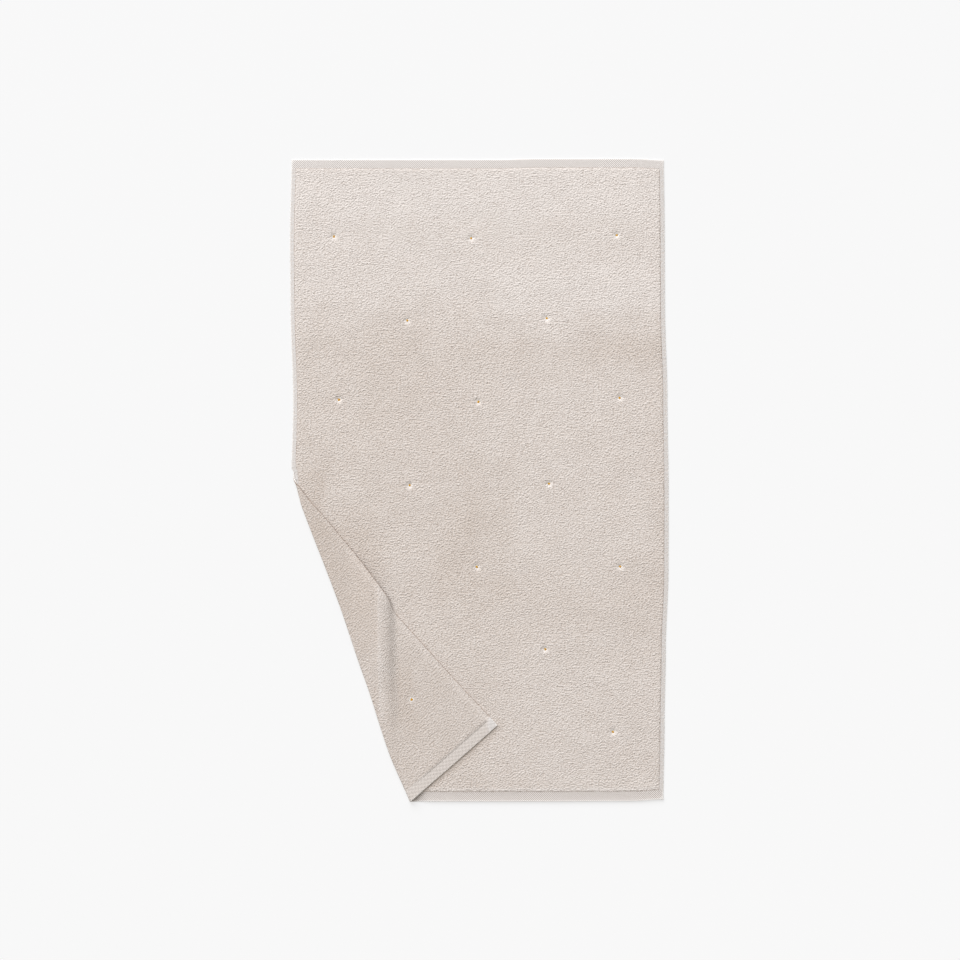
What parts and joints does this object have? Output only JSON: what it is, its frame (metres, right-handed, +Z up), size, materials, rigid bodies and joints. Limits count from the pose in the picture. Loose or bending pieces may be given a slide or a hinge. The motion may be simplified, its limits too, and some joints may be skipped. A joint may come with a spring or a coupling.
{
  "type": "bath towel, one corner folded over",
  "caption": "Rectangular cotton terry bath towel with woven hems and thread tacks, lying flat with its lower left corner folded over the front.",
  "frame": {"origin": "middle of the towel's outline, on the surface it lies on", "axes": "+X across the towel to its right-hand side seen from above, +Y along its length to the end away from the folded corner, +Z up out of its front"},
  "size_m": [0.7088, 1.2036, 0.022],
  "materials": {
    "cotton_terry": "matt looped pile, undyed off-white to light sand",
    "cotton_thread": "matt orange sewing thread"
  },
  "bodies": {
    "root": {"towel_cloth": "cotton_terry", "thread_tack_01": "cotton_thread", "thread_tack_02": "cotton_thread", "thread_tack_03": "cotton_thread", "thread_tack_04": "cotton_thread", "thread_tack_05": "cotton_thread", "thread_tack_06": "cotton_thread", "thread_tack_07": "cotton_thread", "thread_tack_08": "cotton_thread", "thread_tack_09": "cotton_thread", "thread_tack_10": "cotton_thread", "thread_tack_11": "cotton_thread", "thread_tack_12": "cotton_thread", "thread_tack_13": "cotton_thread", "thread_tack_14": "cotton_thread", "thread_tack_15": "cotton_thread", "thread_tack_16": "cotton_thread", "thread_tack_17": "cotton_thread", "thread_tack_18": "cotton_thread"}
  },
  "joints": []
}
